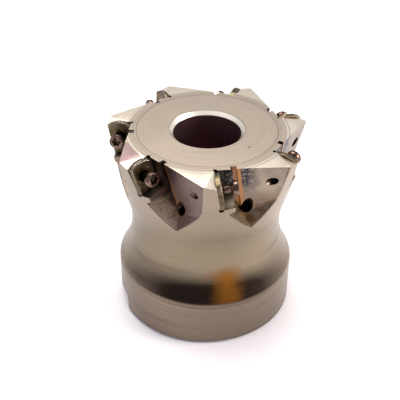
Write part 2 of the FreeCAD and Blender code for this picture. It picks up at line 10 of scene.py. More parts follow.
import bmesh
import bpy
from mathutils import Matrix, Vector

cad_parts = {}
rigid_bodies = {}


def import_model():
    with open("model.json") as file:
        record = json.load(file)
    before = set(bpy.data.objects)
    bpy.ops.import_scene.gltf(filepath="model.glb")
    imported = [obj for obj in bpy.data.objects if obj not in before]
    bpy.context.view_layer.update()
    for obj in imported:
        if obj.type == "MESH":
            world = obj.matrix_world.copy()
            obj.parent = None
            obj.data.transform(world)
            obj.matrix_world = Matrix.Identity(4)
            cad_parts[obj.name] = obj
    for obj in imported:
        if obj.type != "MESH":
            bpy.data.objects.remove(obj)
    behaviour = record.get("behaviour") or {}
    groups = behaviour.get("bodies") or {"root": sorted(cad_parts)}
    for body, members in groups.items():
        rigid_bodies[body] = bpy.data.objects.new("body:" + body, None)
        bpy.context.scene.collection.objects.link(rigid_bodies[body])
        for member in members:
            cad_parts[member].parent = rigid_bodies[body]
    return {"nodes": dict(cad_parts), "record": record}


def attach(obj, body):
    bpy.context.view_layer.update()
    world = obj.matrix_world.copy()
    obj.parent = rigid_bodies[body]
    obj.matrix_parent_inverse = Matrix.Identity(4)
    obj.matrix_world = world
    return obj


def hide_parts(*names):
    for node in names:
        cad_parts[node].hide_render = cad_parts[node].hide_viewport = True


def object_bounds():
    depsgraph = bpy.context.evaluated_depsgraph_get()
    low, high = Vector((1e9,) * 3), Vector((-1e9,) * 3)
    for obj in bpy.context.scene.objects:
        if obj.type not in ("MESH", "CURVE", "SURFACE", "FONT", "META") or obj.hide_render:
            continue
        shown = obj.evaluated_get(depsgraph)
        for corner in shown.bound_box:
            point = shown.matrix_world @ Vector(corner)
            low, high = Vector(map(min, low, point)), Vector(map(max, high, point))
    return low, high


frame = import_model()
CAD_BOX = [list(corner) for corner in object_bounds()]

LOG = logging.getLogger("face_mill")
MM = 0.001
TEETH = 7
LOBES = 6


class BodyFace(IntEnum):
    """Material slots of the cutter body."""

    CUT = 0
    EDGE = 1


class ScrewFace(IntEnum):
    """Material slots of an insert screw."""

    HEAD = 0
    SOCKET = 1
    SHANK = 2


def linear(colour: str) -> tuple[float, float, float, float]:
    """Turn an sRGB hex colour into the linear values that shaders use.

    Args:
        colour: The colour as "#RRGGBB".

    Returns:
        Red, green, blue and an alpha of one.
    """
    parts = [int(colour[i:i + 2], 16) / 255 for i in (1, 3, 5)]
    red, green, blue = (c / 12.92 if c <= 0.04045 else ((c + 0.055) / 1.055) ** 2.4
                        for c in parts)
    return red, green, blue, 1.0


def add_node(tree: bpy.types.NodeTree, kind: str, inputs: dict | None = None,
             pick: int | str = 0, **settings: Any) -> bpy.types.NodeSocket | None:
    """Add a node with its settings and links.

    Args:
        tree: The node tree to add it to.
        kind: The node's type, without "ShaderNode".
        inputs: Values or sockets to join, by input name or number.
        pick: The output to return, by name or number.
        settings: The node's own settings.

    Returns:
        The output that was picked, or None from a node that has none.
    """
    node = tree.nodes.new("ShaderNode" + kind)
    for name, value in settings.items():
        setattr(node, name, value)
    for key, value in (inputs or {}).items():
        if isinstance(value, bpy.types.NodeSocket):
            tree.links.new(value, node.inputs[key])
        else:
            node.inputs[key].default_value = value
    return node.outputs[pick] if len(node.outputs) else None


def new_material(name: str) -> tuple[bpy.types.Material, bpy.types.NodeTree]:
    """Make an empty node material.

    Args:
        name: The material's name, after the real finish.

    Returns:
        The material and its node tree.
    """
    material = bpy.data.materials.new(name)
    material.use_nodes = True
    material.node_tree.nodes.clear()
    return material, material.node_tree


def millimetres(tree: bpy.types.NodeTree) -> bpy.types.NodeSocket:
    """Give the place on the object in millimetres."""
    place = add_node(tree, "TexCoord", pick="Object")
    return add_node(tree, "VectorMath", {0: place, "Scale": 1 / MM}, operation="SCALE")


# settings that several nodes share: a soft-edged mask, and a mix of two colours
SOFT_EDGE = {"interpolation_type": "SMOOTHSTEP"}
TWO_COLOURS = {"data_type": "RGBA", "pick": 2}


@dataclass(frozen=True)
class BareToolSteel:
    """Hardened tool steel, bare: turned outside, milled in the gullets, tinted by heat.

    Turning leaves fine rings and milling a smoother face, both satin to the eye. The heat
    of hardening leaves olive, bronze and blue oxide. Painted onto it as well: a dark
    reflection and a warm glow on the neck, highlights along a gullet ridge and the teeth,
    shade in the corners and the shaded tone of the bore. Sizes are in millimetres.
    """

    hub: str = "#807364"
    neck: str = "#857A66"
    head: str = "#998D7B"
    faced: str = "#CDBFAC"
    faced_dull: str = "#C2B39F"
    ground: str = "#EFE3CE"
    rosy: str = "#B99E9A"
    milled: str = "#80766A"
    slanted: str = "#E2D0B6"
    blue_oxide: str = "#2A2D36"
    bronze_oxide: str = "#5F452E"
    ridge_highlight: str = "#9A704C"
    # painted highlight along the ridge in each gullet
    plum_oxide: str = "#746260"
    # painted warm glow beside the painted dark reflection, standing in for reflected light
    warm_glow: str = "#83541F"
    # near-black scale in random clouds and rings; also the colour of the painted dark
    # reflection on the neck
    scale: str = "#2A211C"
    rust: str = "#6B4A22"
    shadow: str = "#14100D"
    # painted shade: purple-brown standing in for the tone of the deep, shaded bore
    painted_bore_shade: str = "#9C7A82"
    # near-white for pale rings and the bore's chamfer; also the painted highlight along the
    # teeth
    bright: str = "#F7F1E2"
    roughness: float = 0.32
    # spacing of the turned rings, about twice a real feed so that they show
    turning_feed: float = 0.4348
    facing_feed: float = 0.4167
    # size of the cloudy tints left by heat, and of single specks
    heat_band: float = 3.333
    heat_blotch: float = 6.25
    speck: float = 0.769
    # directions round the axis, in degrees: middle of the painted dark reflection, then of
    # the painted warm glow
    dark_reflection_at: float = -104.0
    patch_at: float = -95.0
    # count of the pocket whose gullet is stained, and where the counting starts, in radians
    stained_gullet: float = -3.0
    pocket_start: float = -0.17
    # place of one rust spot on the flat top, and how far from a corner the painted shade
    # reaches
    rust_spot: tuple[float, float, float] = (8.34, -14.81, 0.0)
    painted_shade: float = 4.0

    def pocket(self, tree: bpy.types.NodeTree, place: bpy.types.NodeSocket) -> dict:
        """Measure where a point lies round the axis and in its own pocket.

        Args:
            tree: The material's node tree.
            place: The place in millimetres.

        Returns:
            Height, radius, angle, pocket count, swing across the pocket, depth below the
            turned outside, and how far the face looks up or across the pocket.
        """
        split = add_node(tree, "SeparateXYZ", {0: place}).node.outputs
        across, along, height = split[0], split[1], split[2]
        flat = add_node(tree, "CombineXYZ", {0: across, 1: along})
        radius = add_node(tree, "VectorMath", {0: flat}, pick="Value", operation="LENGTH")
        angle = add_node(tree, "Math", {0: along, 1: across}, operation="ARCTAN2")
        facing = add_node(tree, "NewGeometry", pick="Normal")
        upward = add_node(tree, "SeparateXYZ", {0: facing}, pick=2)

        pitch = 2 * math.pi / TEETH
        turned = add_node(tree, "Math", {0: angle, 1: -self.pocket_start}, operation="ADD")
        count = add_node(tree, "Math", {0: turned, 1: pitch}, operation="DIVIDE")
        number = add_node(tree, "Math", {0: count}, operation="FLOOR")
        start = add_node(tree, "Math", {0: number, 1: pitch}, operation="MULTIPLY")
        local = add_node(tree, "Math", {0: angle, 1: start}, operation="SUBTRACT")
        sine = add_node(tree, "Math", {0: local}, operation="SINE")
        swing = add_node(tree, "Math", {0: radius, 1: sine}, operation="MULTIPLY")
        side_x = add_node(tree, "Math", {0: start}, operation="SINE")
        side_x = add_node(tree, "Math", {0: side_x, 1: -1.0}, operation="MULTIPLY")
        side_y = add_node(tree, "Math", {0: start}, operation="COSINE")
        sideways = add_node(tree, "CombineXYZ", {0: side_x, 1: side_y})
        aslant = add_node(tree, "VectorMath", {0: facing, 1: sideways}, pick="Value",
                          operation="DOT_PRODUCT")
        # the cone under the teeth widens by 0.283 a millimetre of height
        skin = add_node(tree, "Math", {0: height, 1: 0.283, 2: 14.63},
                        operation="MULTIPLY_ADD")
        depth = add_node(tree, "Math", {0: skin, 1: radius}, operation="SUBTRACT")
        return {"flat": flat, "height": height, "radius": radius, "angle": angle,
                "number": number, "swing": swing, "depth": depth, "upward": upward,
                "aslant": aslant}

    def grain(self, tree: bpy.types.NodeTree, place: bpy.types.NodeSocket,
              where: dict) -> dict:
        """Make the rings, clouds and specks of the surface.

        Args:
            tree: The material's node tree.
            place: The place in millimetres.
            where: What pocket() returned.

        Returns:
            The noise values, by name.
        """
        polar = add_node(tree, "CombineXYZ", {0: where["radius"], 1: where["angle"]})
        noises = {}
        for name, start, stretch, scale, detail, rough in (
            ("streak", place, (0.004, 0.004, 1 / self.turning_feed), 1.0, 5.0, 0.75),
            ("broad", place, (0.02, 0.02, 1 / self.heat_band), 1.0, 3.0, 0.5),
            ("facing_rings", polar, (1 / self.facing_feed, 0.7, 1.0), 1.0, 4.0, 0.6),
            ("blotch", place, (1.0, 1.0, 1.0), 1 / self.heat_blotch, 5.0, 0.6),
            ("speck", place, (1.0, 1.0, 1.0), 1 / self.speck, 3.0, 0.5),
        ):
            stretched = add_node(tree, "VectorMath", {0: start, 1: stretch},
                                 operation="MULTIPLY")
            noises[name] = add_node(tree, "TexNoise", {
                "Vector": stretched, "Scale": scale, "Detail": detail, "Roughness": rough})
        return noises

    def distances(self, tree: bpy.types.NodeTree, values: dict) -> None:
        """Add how far a point lies from each line and spot of the surface.

        Args:
            tree: The material's node tree.
            values: The measures and noises, which the distances join.
        """
        ridge = add_node(tree, "Math", {0: values["height"], 1: -0.1512, 2: 15.75},
                         operation="MULTIPLY_ADD")
        for name, value, middle in (
            ("off_inner_ring", values["radius"], 22.7),
            ("off_outer_ring", values["radius"], 23.6),
            ("off_brink", values["radius"], 25.75),
            ("off_dark_reflection", values["angle"], math.radians(self.dark_reflection_at)),
            ("off_patch", values["angle"], math.radians(self.patch_at)),
            ("off_ridge", values["swing"], ridge),
        ):
            away = add_node(tree, "Math", {0: value, 1: middle}, operation="SUBTRACT")
            values[name] = add_node(tree, "Math", {0: away}, operation="ABSOLUTE")
        values["off_spot"] = add_node(tree, "VectorMath",
                                      {0: values["flat"], 1: self.rust_spot},
                                      pick="Value", operation="DISTANCE")
        cloudy = add_node(tree, "Math", {0: values["off_patch"], 1: values["blotch"],
                                         2: -0.12}, operation="MULTIPLY_ADD")
        values["ragged"] = add_node(tree, "Math", {0: values["streak"], 1: 0.16, 2: cloudy},
                                    operation="MULTIPLY_ADD")
        # how closed in each point is, for the painted shade in the corners
        values["open_air"] = add_node(tree, "AmbientOcclusion", {"Distance": self.painted_shade * MM},
                                      pick="AO", samples=6)

    def masks(self, tree: bpy.types.NodeTree, values: dict) -> dict:
        """Make the mask of every area of the surface.

        Args:
            tree: The material's node tree.
            values: The measures, noises and distances.

        Returns:
            The masks, by name.
        """
        masks = {"stained": add_node(tree, "Math", {0: values["number"],
                                                    1: self.stained_gullet, 2: 0.3},
                                     operation="COMPARE")}
        # edge, what it is measured on, where it is nought, and where it is one
        for name, value, nought, one in (
            ("top_level", "height", 65.70, 65.78),
            ("facing_up", "upward", 0.9, 0.95),
            ("tooth_level", "height", 63.6, 63.9),
            ("tooth_slope", "upward", 0.88, 0.93),
            ("below_top", "height", 65.78, 65.72),
            ("under_skin", "depth", 0.15, 0.4),
            ("above_gullet_foot", "height", 43.3, 43.8),
            ("not_up", "upward", 0.93, 0.88),
            ("off_bore", "radius", 14.0, 15.0),
            ("in_bore", "radius", 13.7, 13.4),
            ("below_face", "height", 65.7, 65.6),
            ("sloping", "upward", 0.3, 0.5),
            ("mouth_level", "height", 64.0, 64.3),
            ("neckward", "height", 12.0, 27.0),
            ("headward", "height", 36.0, 50.0),
            ("broad_cloud", "broad", 0.5, 0.7),
            ("below_head", "height", 46.0, 30.0),
            ("dark_ring", "streak", 0.5, 0.68),
            ("pale_ring", "streak", 0.47, 0.34),
            # painted dark reflection on the neck, on the side facing the camera
            ("dark_reflection_foot", "height", 16.4, 17.8),
            ("dark_reflection_fade", "height", 28.5, 20.0),
            ("dark_reflection_ends", "off_dark_reflection", 1.6, 0.15),
            ("dark_reflection_rings", "streak", 0.05, 0.45),
            # painted warm glow on the neck, with ragged sides
            ("patch_sides", "ragged", 0.10, -0.04),
            ("patch_foot", "height", 16.8, 18.2),
            ("patch_fade", "height", 31.0, 25.0),
            ("mottle", "blotch", 0.4, 0.65),
            ("low_gullet", "height", 58.0, 48.0),
            ("bronze_cloud", "blotch", 0.3, 0.6),
            ("by_ridge", "swing", 14.5, 8.5),
            ("high_gullet", "height", 54.0, 60.0),
            ("blue_speck", "speck", 0.25, 0.6),
            ("plum_speck", "speck", 0.1, 0.5),
            ("slanting", "aslant", 0.6, 0.7),
            ("below_seat", "height", 54.0, 52.0),
            ("grit", "speck", 0.5, 0.75),
            # painted highlight along the gullet ridge
            ("on_ridge", "off_ridge", 1.3, 0.9),
            ("above_folds", "height", 45.0, 48.0),
            ("not_slanting", "aslant", 0.6, 0.5),
            ("dull_ring", "facing_rings", 0.4, 0.7),
            ("inner_ring", "off_inner_ring", 0.22, 0.08),
            ("outer_line", "off_outer_ring", 0.16, 0.05),
            ("spot", "off_spot", 0.55, 0.2),
            # painted highlight: a thin line where the tooth facets meet the disc
            ("brink_line", "off_brink", 0.25, 0.1),
            ("reheated", "angle", -2.3, -2.5),
            # painted shade where the surface is closed in
            ("closed_in", "open_air", 0.5, 0.1),
            ("off_bore_rim", "radius", 13.0, 14.0),
        ):
            masks[name] = add_node(tree, "MapRange", {0: values[value], 1: nought, 2: one},
                                   **SOFT_EDGE)
        # area, and the masks and strengths that are multiplied to make it
        for name, *factors in (
            ("top", "top_level", "facing_up"),
            ("tooth", "tooth_level", "tooth_slope"),
            ("facet", "tooth", "below_top"),
            ("gullet", "under_skin", "above_gullet_foot", "not_up", "off_bore"),
            ("bore", "in_bore", "below_face"),
            ("chamfer", "bore", "sloping", "mouth_level"),
            ("cloudy", "broad_cloud", "below_head", 0.35),
            ("faint_dark_ring", "dark_ring", 0.2),
            ("faint_pale_ring", "pale_ring", 0.08),
            # painted dark reflection
            ("painted_dark_reflection", "dark_reflection_foot", "dark_reflection_fade", "dark_reflection_ends", "dark_reflection_rings", 1.3),
            ("patch", "patch_sides", "patch_foot", "patch_fade"),
            ("bronze", "low_gullet", "bronze_cloud"),
            ("blue", "by_ridge", "high_gullet", "blue_speck"),
            ("plum", "stained", "plum_speck"),
            ("slant", "slanting", "below_seat"),
            ("painted_ridge_highlight", "on_ridge", "gullet", "above_folds", "not_slanting"),
            ("outer_ring", "outer_line", 0.6),
            ("painted_brink_highlight", "tooth", "brink_line"),
            # painted shade in the corners, kept out of the bore
            ("painted_shade", "closed_in", "off_bore_rim"),
        ):
            area = masks[factors[0]]
            for factor in factors[1:]:
                area = add_node(tree, "Math", {0: area, 1: masks.get(factor, factor)},
                                operation="MULTIPLY", use_clamp=True)
            masks[name] = area
        return masks

    def tint(self, tree: bpy.types.NodeTree, masks: dict) -> bpy.types.NodeSocket:
        """Lay the colours over one another.

        Args:
            tree: The material's node tree.
            masks: The masks of the areas.

        Returns:
            The colour of the whole surface.
        """
        colours = {name: linear(value) for name, value in vars(self).items()
                   if isinstance(value, str)}
        # what is coloured, the colour below, the colour above, and where that one shows
        for name, under, over, mask in (
            ("skin", "hub", "neck", "neckward"),
            ("skin", "skin", "head", "headward"),
            ("skin", "skin", "scale", "cloudy"),
            ("skin", "skin", "scale", "faint_dark_ring"),
            ("skin", "skin", "bright", "faint_pale_ring"),
            # painted dark reflection on the neck
            ("skin", "skin", "scale", "painted_dark_reflection"),
            # painted warm glow on the neck
            ("skin", "skin", "warm_glow", "patch"),
            ("hollow", "milled", "head", "mottle"),
            ("hollow", "hollow", "bronze_oxide", "bronze"),
            ("hollow", "hollow", "blue_oxide", "blue"),
            ("hollow", "hollow", "plum_oxide", "plum"),
            ("grainy", "slanted", "milled", "grit"),
            ("hollow", "hollow", "grainy", "slant"),
            ("skin", "skin", "hollow", "gullet"),
            # painted highlight along the gullet ridge
            ("skin", "skin", "ridge_highlight", "painted_ridge_highlight"),
            ("disc", "faced", "faced_dull", "dull_ring"),
            ("disc", "disc", "head", "inner_ring"),
            ("disc", "disc", "head", "outer_ring"),
            ("disc", "disc", "rust", "spot"),
            ("skin", "skin", "disc", "top"),
            ("tooth_top", "ground", "rosy", "reheated"),
            ("skin", "skin", "tooth_top", "facet"),
            # painted highlight along the teeth
            ("skin", "skin", "bright", "painted_brink_highlight"),
            # painted shade tone inside the bore
            ("skin", "skin", "painted_bore_shade", "bore"),
            ("skin", "skin", "bright", "chamfer"),
            # painted shade in the corners
            ("skin", "skin", "shadow", "painted_shade"),
        ):
            colours[name] = add_node(tree, "Mix", {0: masks[mask], 6: colours[under],
                                                   7: colours[over]}, **TWO_COLOURS)
        return colours["skin"]

    def material(self) -> bpy.types.Material:
        """Build the cutter body's material.

        Returns:
            The material.
        """
        material, tree = new_material("turned and milled tool steel")
        place = millimetres(tree)
        values = self.pocket(tree, place)
        values.update(self.grain(tree, place, values))
        self.distances(tree, values)
        masks = self.masks(tree, values)
        colour = self.tint(tree, masks)
        rough = add_node(tree, "MapRange", {"Value": values["streak"], "From Min": 0.3,
                                            "From Max": 0.7,
                                            "To Min": self.roughness - 0.06,
                                            "To Max": self.roughness + 0.12})
        relief = add_node(tree, "Mix", {"Factor": masks["top"], 2: values["streak"],
                                        3: values["facing_rings"]})
        bump = add_node(tree, "Bump", {"Height": relief, "Strength": 0.07,
                                       "Distance": 0.0002})
        steel = add_node(tree, "BsdfPrincipled", {"Base Color": colour, "Metallic": 1.0,
                                                  "Roughness": rough, "Normal": bump})
        add_node(tree, "OutputMaterial", {"Surface": steel})
        return material


@dataclass(frozen=True)
class WornEdge:
    """Deburred and handled edges of tool steel: bright, smooth metal."""

    bright: str = "#E9DCC4"
    dull: str = "#8A7B68"
    roughness: float = 0.22
    # length of one rubbed stretch of an edge
    rub: float = 2.0

    def material(self) -> bpy.types.Material:
        """Build the broken edges' material.

        Returns:
            The material.
        """
        material, tree = new_material("worn bright edge")
        place = millimetres(tree)
        wear = add_node(tree, "TexNoise", {"Vector": place, "Scale": 1 / self.rub,
                                           "Detail": 4.0})
        rubbed = add_node(tree, "MapRange", {0: wear, 1: 0.42, 2: 0.62}, **SOFT_EDGE)
        colour = add_node(tree, "Mix", {0: rubbed, 6: linear(self.bright),
                                        7: linear(self.dull)}, **TWO_COLOURS)
        skin = add_node(tree, "BsdfPrincipled", {"Base Color": colour, "Metallic": 1.0,
                                                 "Roughness": self.roughness})
        add_node(tree, "OutputMaterial", {"Surface": skin})
        return material


@dataclass(frozen=True)
class SinteredCarbide:
    """Sintered carbide: a ground grey plate, browned by cutting oil and heat, with a painted
    highlight on its upper edges.
    """

    face: str = "#6A5E48"
    stain: str = "#4A4030"
    # near-white painted highlight along the plate's upper edges
    edge: str = "#F2EDE0"
    roughness: float = 0.34
    # size of an oil stain, and radius that the plate's corners are worn to
    blot: float = 1.818
    corner: float = 0.12

    def material(self) -> bpy.types.Material:
        """Build the shims' material.

        Returns:
            The material.
        """
        material, tree = new_material("ground carbide")
        place = millimetres(tree)
        blotch = add_node(tree, "TexNoise", {"Vector": place, "Scale": 1 / self.blot,
                                             "Detail": 4.0})
        facing = add_node(tree, "NewGeometry", pick="Normal")
        rounded = add_node(tree, "Bevel", {"Radius": self.corner * MM}, samples=6)
        turn = add_node(tree, "VectorMath", {0: rounded, 1: facing}, pick="Value",
                        operation="DOT_PRODUCT")
        height = add_node(tree, "SeparateXYZ", {0: place}, pick=2)
        stained = add_node(tree, "MapRange", {0: blotch, 1: 0.4, 2: 0.65}, **SOFT_EDGE)
        # painted highlight: near-white where the rounded normal turns, on the upper edges
        # only
        edge = add_node(tree, "MapRange", {0: turn, 1: 0.998, 2: 0.95}, **SOFT_EDGE)
        high = add_node(tree, "MapRange", {0: height, 1: 62.5, 2: 64.0}, **SOFT_EDGE)
        edge = add_node(tree, "Math", {0: edge, 1: high}, operation="MULTIPLY")
        colour = add_node(tree, "Mix", {0: stained, 6: linear(self.face),
                                        7: linear(self.stain)}, **TWO_COLOURS)
        colour = add_node(tree, "Mix", {0: edge, 6: colour, 7: linear(self.edge)},
                          **TWO_COLOURS)
        plate = add_node(tree, "BsdfPrincipled", {"Base Color": colour, "Metallic": 1.0,
                                                  "Roughness": self.roughness,
                                                  "Normal": rounded})
        add_node(tree, "OutputMaterial", {"Surface": plate})
        return material


@dataclass(frozen=True)
class PaintedSocketShade:
    """Near-black painted shade for the screw sockets, with faint lighter flecks."""

    black: str = "#120F0D"
    worn: str = "#2A241E"
    roughness: float = 0.5
    # size of one worn fleck
    fleck: float = 0.714

    def material(self) -> bpy.types.Material:
        """Build the screw sockets' painted near-black shade.

        Returns:
            The material.
        """
        material, tree = new_material("painted socket shade")
        place = millimetres(tree)
        wear = add_node(tree, "TexNoise", {"Vector": place, "Scale": 1 / self.fleck,
                                           "Detail": 3.0})
        rubbed = add_node(tree, "MapRange", {0: wear, 1: 0.45, 2: 0.75}, **SOFT_EDGE)
        colour = add_node(tree, "Mix", {0: rubbed, 6: linear(self.black),
                                        7: linear(self.worn)}, **TWO_COLOURS)
        skin = add_node(tree, "BsdfPrincipled", {"Base Color": colour, "Metallic": 1.0,
                                                 "Roughness": self.roughness})
        add_node(tree, "OutputMaterial", {"Surface": skin})
        return material


@dataclass(frozen=True)
class TemperedSteel:
    """Turned steel with temper colours, with painted shade in its hollows."""

    name: str = "tempered screw steel"
    straw: str = "#7E6A5C"
    rose: str = "#55423C"
    recess_shade: str = "#0E0C0B"
    roughness: float = 0.24
    # size of one patch of temper colour, and how far from a corner the painted shade reaches
    tint: float = 1.4286
    painted_shade: float = 1.5

    def material(self) -> bpy.types.Material:
        """Build the tempered steel's material.

        Returns:
            The material.
        """
        material, tree = new_material(self.name)
        place = millimetres(tree)
        tint = add_node(tree, "TexNoise", {"Vector": place, "Scale": 1 / self.tint,
                                           "Detail": 2.0})
        tinted = add_node(tree, "MapRange", {0: tint, 1: 0.35, 2: 0.65}, **SOFT_EDGE)
        # painted shade: darker toward near-black where the surface is closed in
        open_air = add_node(tree, "AmbientOcclusion", {"Distance": self.painted_shade * MM}, pick="AO",
                            samples=6)
        hollow = add_node(tree, "MapRange", {0: open_air, 1: 0.7, 2: 0.3}, **SOFT_EDGE)
        colour = add_node(tree, "Mix", {0: tinted, 6: linear(self.straw),
                                        7: linear(self.rose)}, **TWO_COLOURS)
        colour = add_node(tree, "Mix", {0: hollow, 6: colour, 7: linear(self.recess_shade)},
                          **TWO_COLOURS)
        skin = add_node(tree, "BsdfPrincipled", {"Base Color": colour, "Metallic": 1.0,
                                                 "Roughness": self.roughness})
        add_node(tree, "OutputMaterial", {"Surface": skin})
        return material


@dataclass(frozen=True)
class WhiteCard:
    """Smooth white card under the tool, faintly lilac."""

    white: str = "#F0EEF3"

    def material(self) -> bpy.types.Material:
        """Build the floor's material.

        Returns:
            The material.
        """
        material, tree = new_material("white card")
        card = add_node(tree, "BsdfPrincipled", {"Base Color": linear(self.white),
                                                 "Roughness": 0.6,
                                                 "Specular IOR Level": 0.2})
        add_node(tree, "OutputMaterial", {"Surface": card})
        return material


def node_names(prefix: str) -> list[str]:
    """List the CAD nodes whose name is a prefix and a number."""
    return [f"{prefix}_{number}" for number in range(1, TEETH + 1)]


def dress(node: str, material: bpy.types.Material) -> None:
    """Give a CAD node its finish."""
    mesh = frame["nodes"][node].data
    mesh.materials.clear()
    mesh.materials.append(material)


def clear_selection() -> None:
    """Leave nothing selected, so an operator acts only on what it should."""
    if bpy.context.mode != "OBJECT":
        bpy.ops.object.mode_set(mode="OBJECT")
    bpy.ops.object.select_all(action="DESELECT")


@dataclass
class InsertScrew:
    """The seven insert screws, with rolled threads and six-lobed sockets.

    Sizes are in millimetres along the screw, from the shim's front face.
    """

    thread_radius: float = 1.5
    thread_root: float = 1.22
    thread_end: float = -5.9
    thread_start: float = -1.9
    thread_pitch: float = 0.5
    neck_radius: float = 1.25
    head_under: float = 2.5
    head_radius: float = 2.35
    head_cone: float = 0.75
    head_top: float = 4.8
    rim: float = 0.3
    socket_radius: float = 1.5
    socket_inner: float = 1.15
    socket_depth: float = 1.5
    socket_step: float = 0.35
    socket_cone: float = 0.25
    tip_chamfer: float = 0.4
    fillet: float = 0.1
    sides: int = 48
    smooth_below: float = 35.0
    recess_shade: PaintedSocketShade = field(default_factory=PaintedSocketShade)
    head: TemperedSteel = field(default_factory=TemperedSteel)
    shank: TemperedSteel = TemperedSteel("bright shank steel", "#D9CDB4", "#A8967C")

    def rings(self) -> list[tuple[float, float]]:
        """List the screw's rings from the tip to the head's rim.

        Returns:
            The height and radius of each ring.
        """
        height = self.thread_end + self.tip_chamfer
        rings = [(height, self.thread_radius)]
        while height + self.thread_pitch < self.thread_start:
            rings.append((height + self.thread_pitch / 2, self.thread_root))
            rings.append((height + self.thread_pitch, self.thread_radius))
            height += self.thread_pitch
        cone_top = self.head_under + self.head_cone
        round_off = self.rim * 0.3
        return rings + [
            (self.thread_start, self.neck_radius),
            (self.head_under - self.fillet * 1.5, self.neck_radius),
            (self.head_under, self.neck_radius + self.fillet),
            (cone_top, self.head_radius - self.fillet * 0.6),
            (cone_top + self.fillet, self.head_radius),
            (self.head_top - self.rim, self.head_radius),
            (self.head_top - round_off, self.head_radius - round_off),
            (self.head_top, self.head_radius - self.rim),
        ]

    def stretch_ring(self, wanted: float, radius: float) -> None:
        """Scale the selected ring to a radius.

        Args:
            wanted: The radius it gets.
            radius: The radius it has.
        """
        scale = wanted / radius
        bpy.ops.transform.resize(value=(scale, scale, 1.0), center_override=(0, 0, 0))

    def model(self) -> bpy.types.Object:
        """Model one screw, standing on the origin, by extruding ring after ring.

        Returns:
            The screw.
        """
        clear_selection()
        start = self.thread_end
        tip = self.thread_radius - self.tip_chamfer
        bpy.ops.mesh.primitive_circle_add(vertices=self.sides, radius=tip * MM,
                                          fill_type="NGON", location=(0, 0, start * MM))
        screw = bpy.context.object
        bpy.ops.object.mode_set(mode="EDIT")
        bpy.ops.mesh.select_all(action="SELECT")
        height, radius = start, tip
        for next_height, next_radius in self.rings():
            bpy.ops.mesh.extrude_region_move(
                TRANSFORM_OT_translate={"value": (0, 0, (next_height - height) * MM)})
            self.stretch_ring(next_radius, radius)
            height, radius = next_height, next_radius
        bpy.ops.mesh.inset(thickness=(radius - self.socket_radius) * MM)
        self.shape_socket(screw)
        bpy.ops.mesh.extrude_region_move(
            TRANSFORM_OT_translate={"value": (0, 0, -self.socket_depth * MM)})
        bpy.ops.mesh.inset(thickness=self.socket_step * MM)
        bpy.ops.transform.translate(value=(0, 0, -self.socket_cone * MM))
        bpy.ops.mesh.select_all(action="SELECT")
        bpy.ops.mesh.normals_make_consistent(inside=False)
        bpy.ops.object.mode_set(mode="OBJECT")
        for face in screw.data.polygons:
            face.material_index = self.face_kind(face.center / MM)
        return screw

    def face_kind(self, centre: Vector) -> ScrewFace:
        """Say which finish a face has.

        Args:
            centre: The place of the face's centre, in millimetres.

        Returns:
            The material slot.
        """
        if centre.z < self.head_under:
            return ScrewFace.SHANK
        below_rim = centre.z < self.head_top - self.fillet * 1.2
        # socket faces get the painted near-black shade
        if below_rim and centre.xy.length < self.socket_radius:
            return ScrewFace.SOCKET
        return ScrewFace.HEAD

    def shape_socket(self, screw: bpy.types.Object) -> None:
        """Pull the selected round ring into six lobes.

        Args:
            screw: The screw, in edit mode.
        """
        mesh = bmesh.from_edit_mesh(screw.data)
        chosen = [vertex for vertex in mesh.verts if vertex.select]
        middle = (self.socket_radius + self.socket_inner) / 2
        swing = (self.socket_radius - self.socket_inner) / 2
        for vertex in chosen:
            angle = math.atan2(vertex.co.y, vertex.co.x)
            radius = (middle + swing * math.cos(LOBES * angle)) * MM
            vertex.co.x = radius * math.cos(angle)
            vertex.co.y = radius * math.sin(angle)
        bmesh.update_edit_mesh(screw.data)

    def build(self) -> None:
        """Place a copy of the screw in each seat."""
        model = self.model()
        clear_selection()
        model.select_set(True)
        bpy.context.view_layer.objects.active = model
        bpy.ops.object.transform_apply()
        bpy.ops.object.shade_smooth_by_angle(angle=math.radians(self.smooth_below))
        for finish in (self.head, self.recess_shade, self.shank):
            model.data.materials.append(finish.material())
        seats = {mount["name"]: mount for mount in frame["record"]["mounts"]}
        for number in range(1, TEETH + 1):
            seat = seats[f"insert_seat_{number}"]
            axis = Vector(seat["axis"])
            turn = axis.to_track_quat("Z", "Y").to_matrix().to_4x4()
            piece = model.copy()
            piece.data = model.data.copy()
            piece.name = f"cap_screw_{number}"
            bpy.context.collection.objects.link(piece)
            piece.data.transform(Matrix.Translation(Vector(seat["pos_m"])) @ turn)
            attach(piece, f"screw_{number}")
            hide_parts(f"insert_screw_{number}")
        bpy.data.objects.remove(model)
        LOG.info("insert screws: %d", TEETH)


@dataclass
class ShimSeats:
    """The carbide shims and the threaded sleeves that hold them."""

    shim: SinteredCarbide = field(default_factory=SinteredCarbide)
    sleeve: TemperedSteel = TemperedSteel("oiled sleeve steel", "#6E624C", "#51472F")

    def build(self) -> None:
        """Dress the shims and the sleeves."""
        shim, sleeve = self.shim.material(), self.sleeve.material()
        for node in node_names("shim"):
            dress(node, shim)
        for node in node_names("shim_sleeve"):
            dress(node, sleeve)
        LOG.info("shims and sleeves: %d each", TEETH)


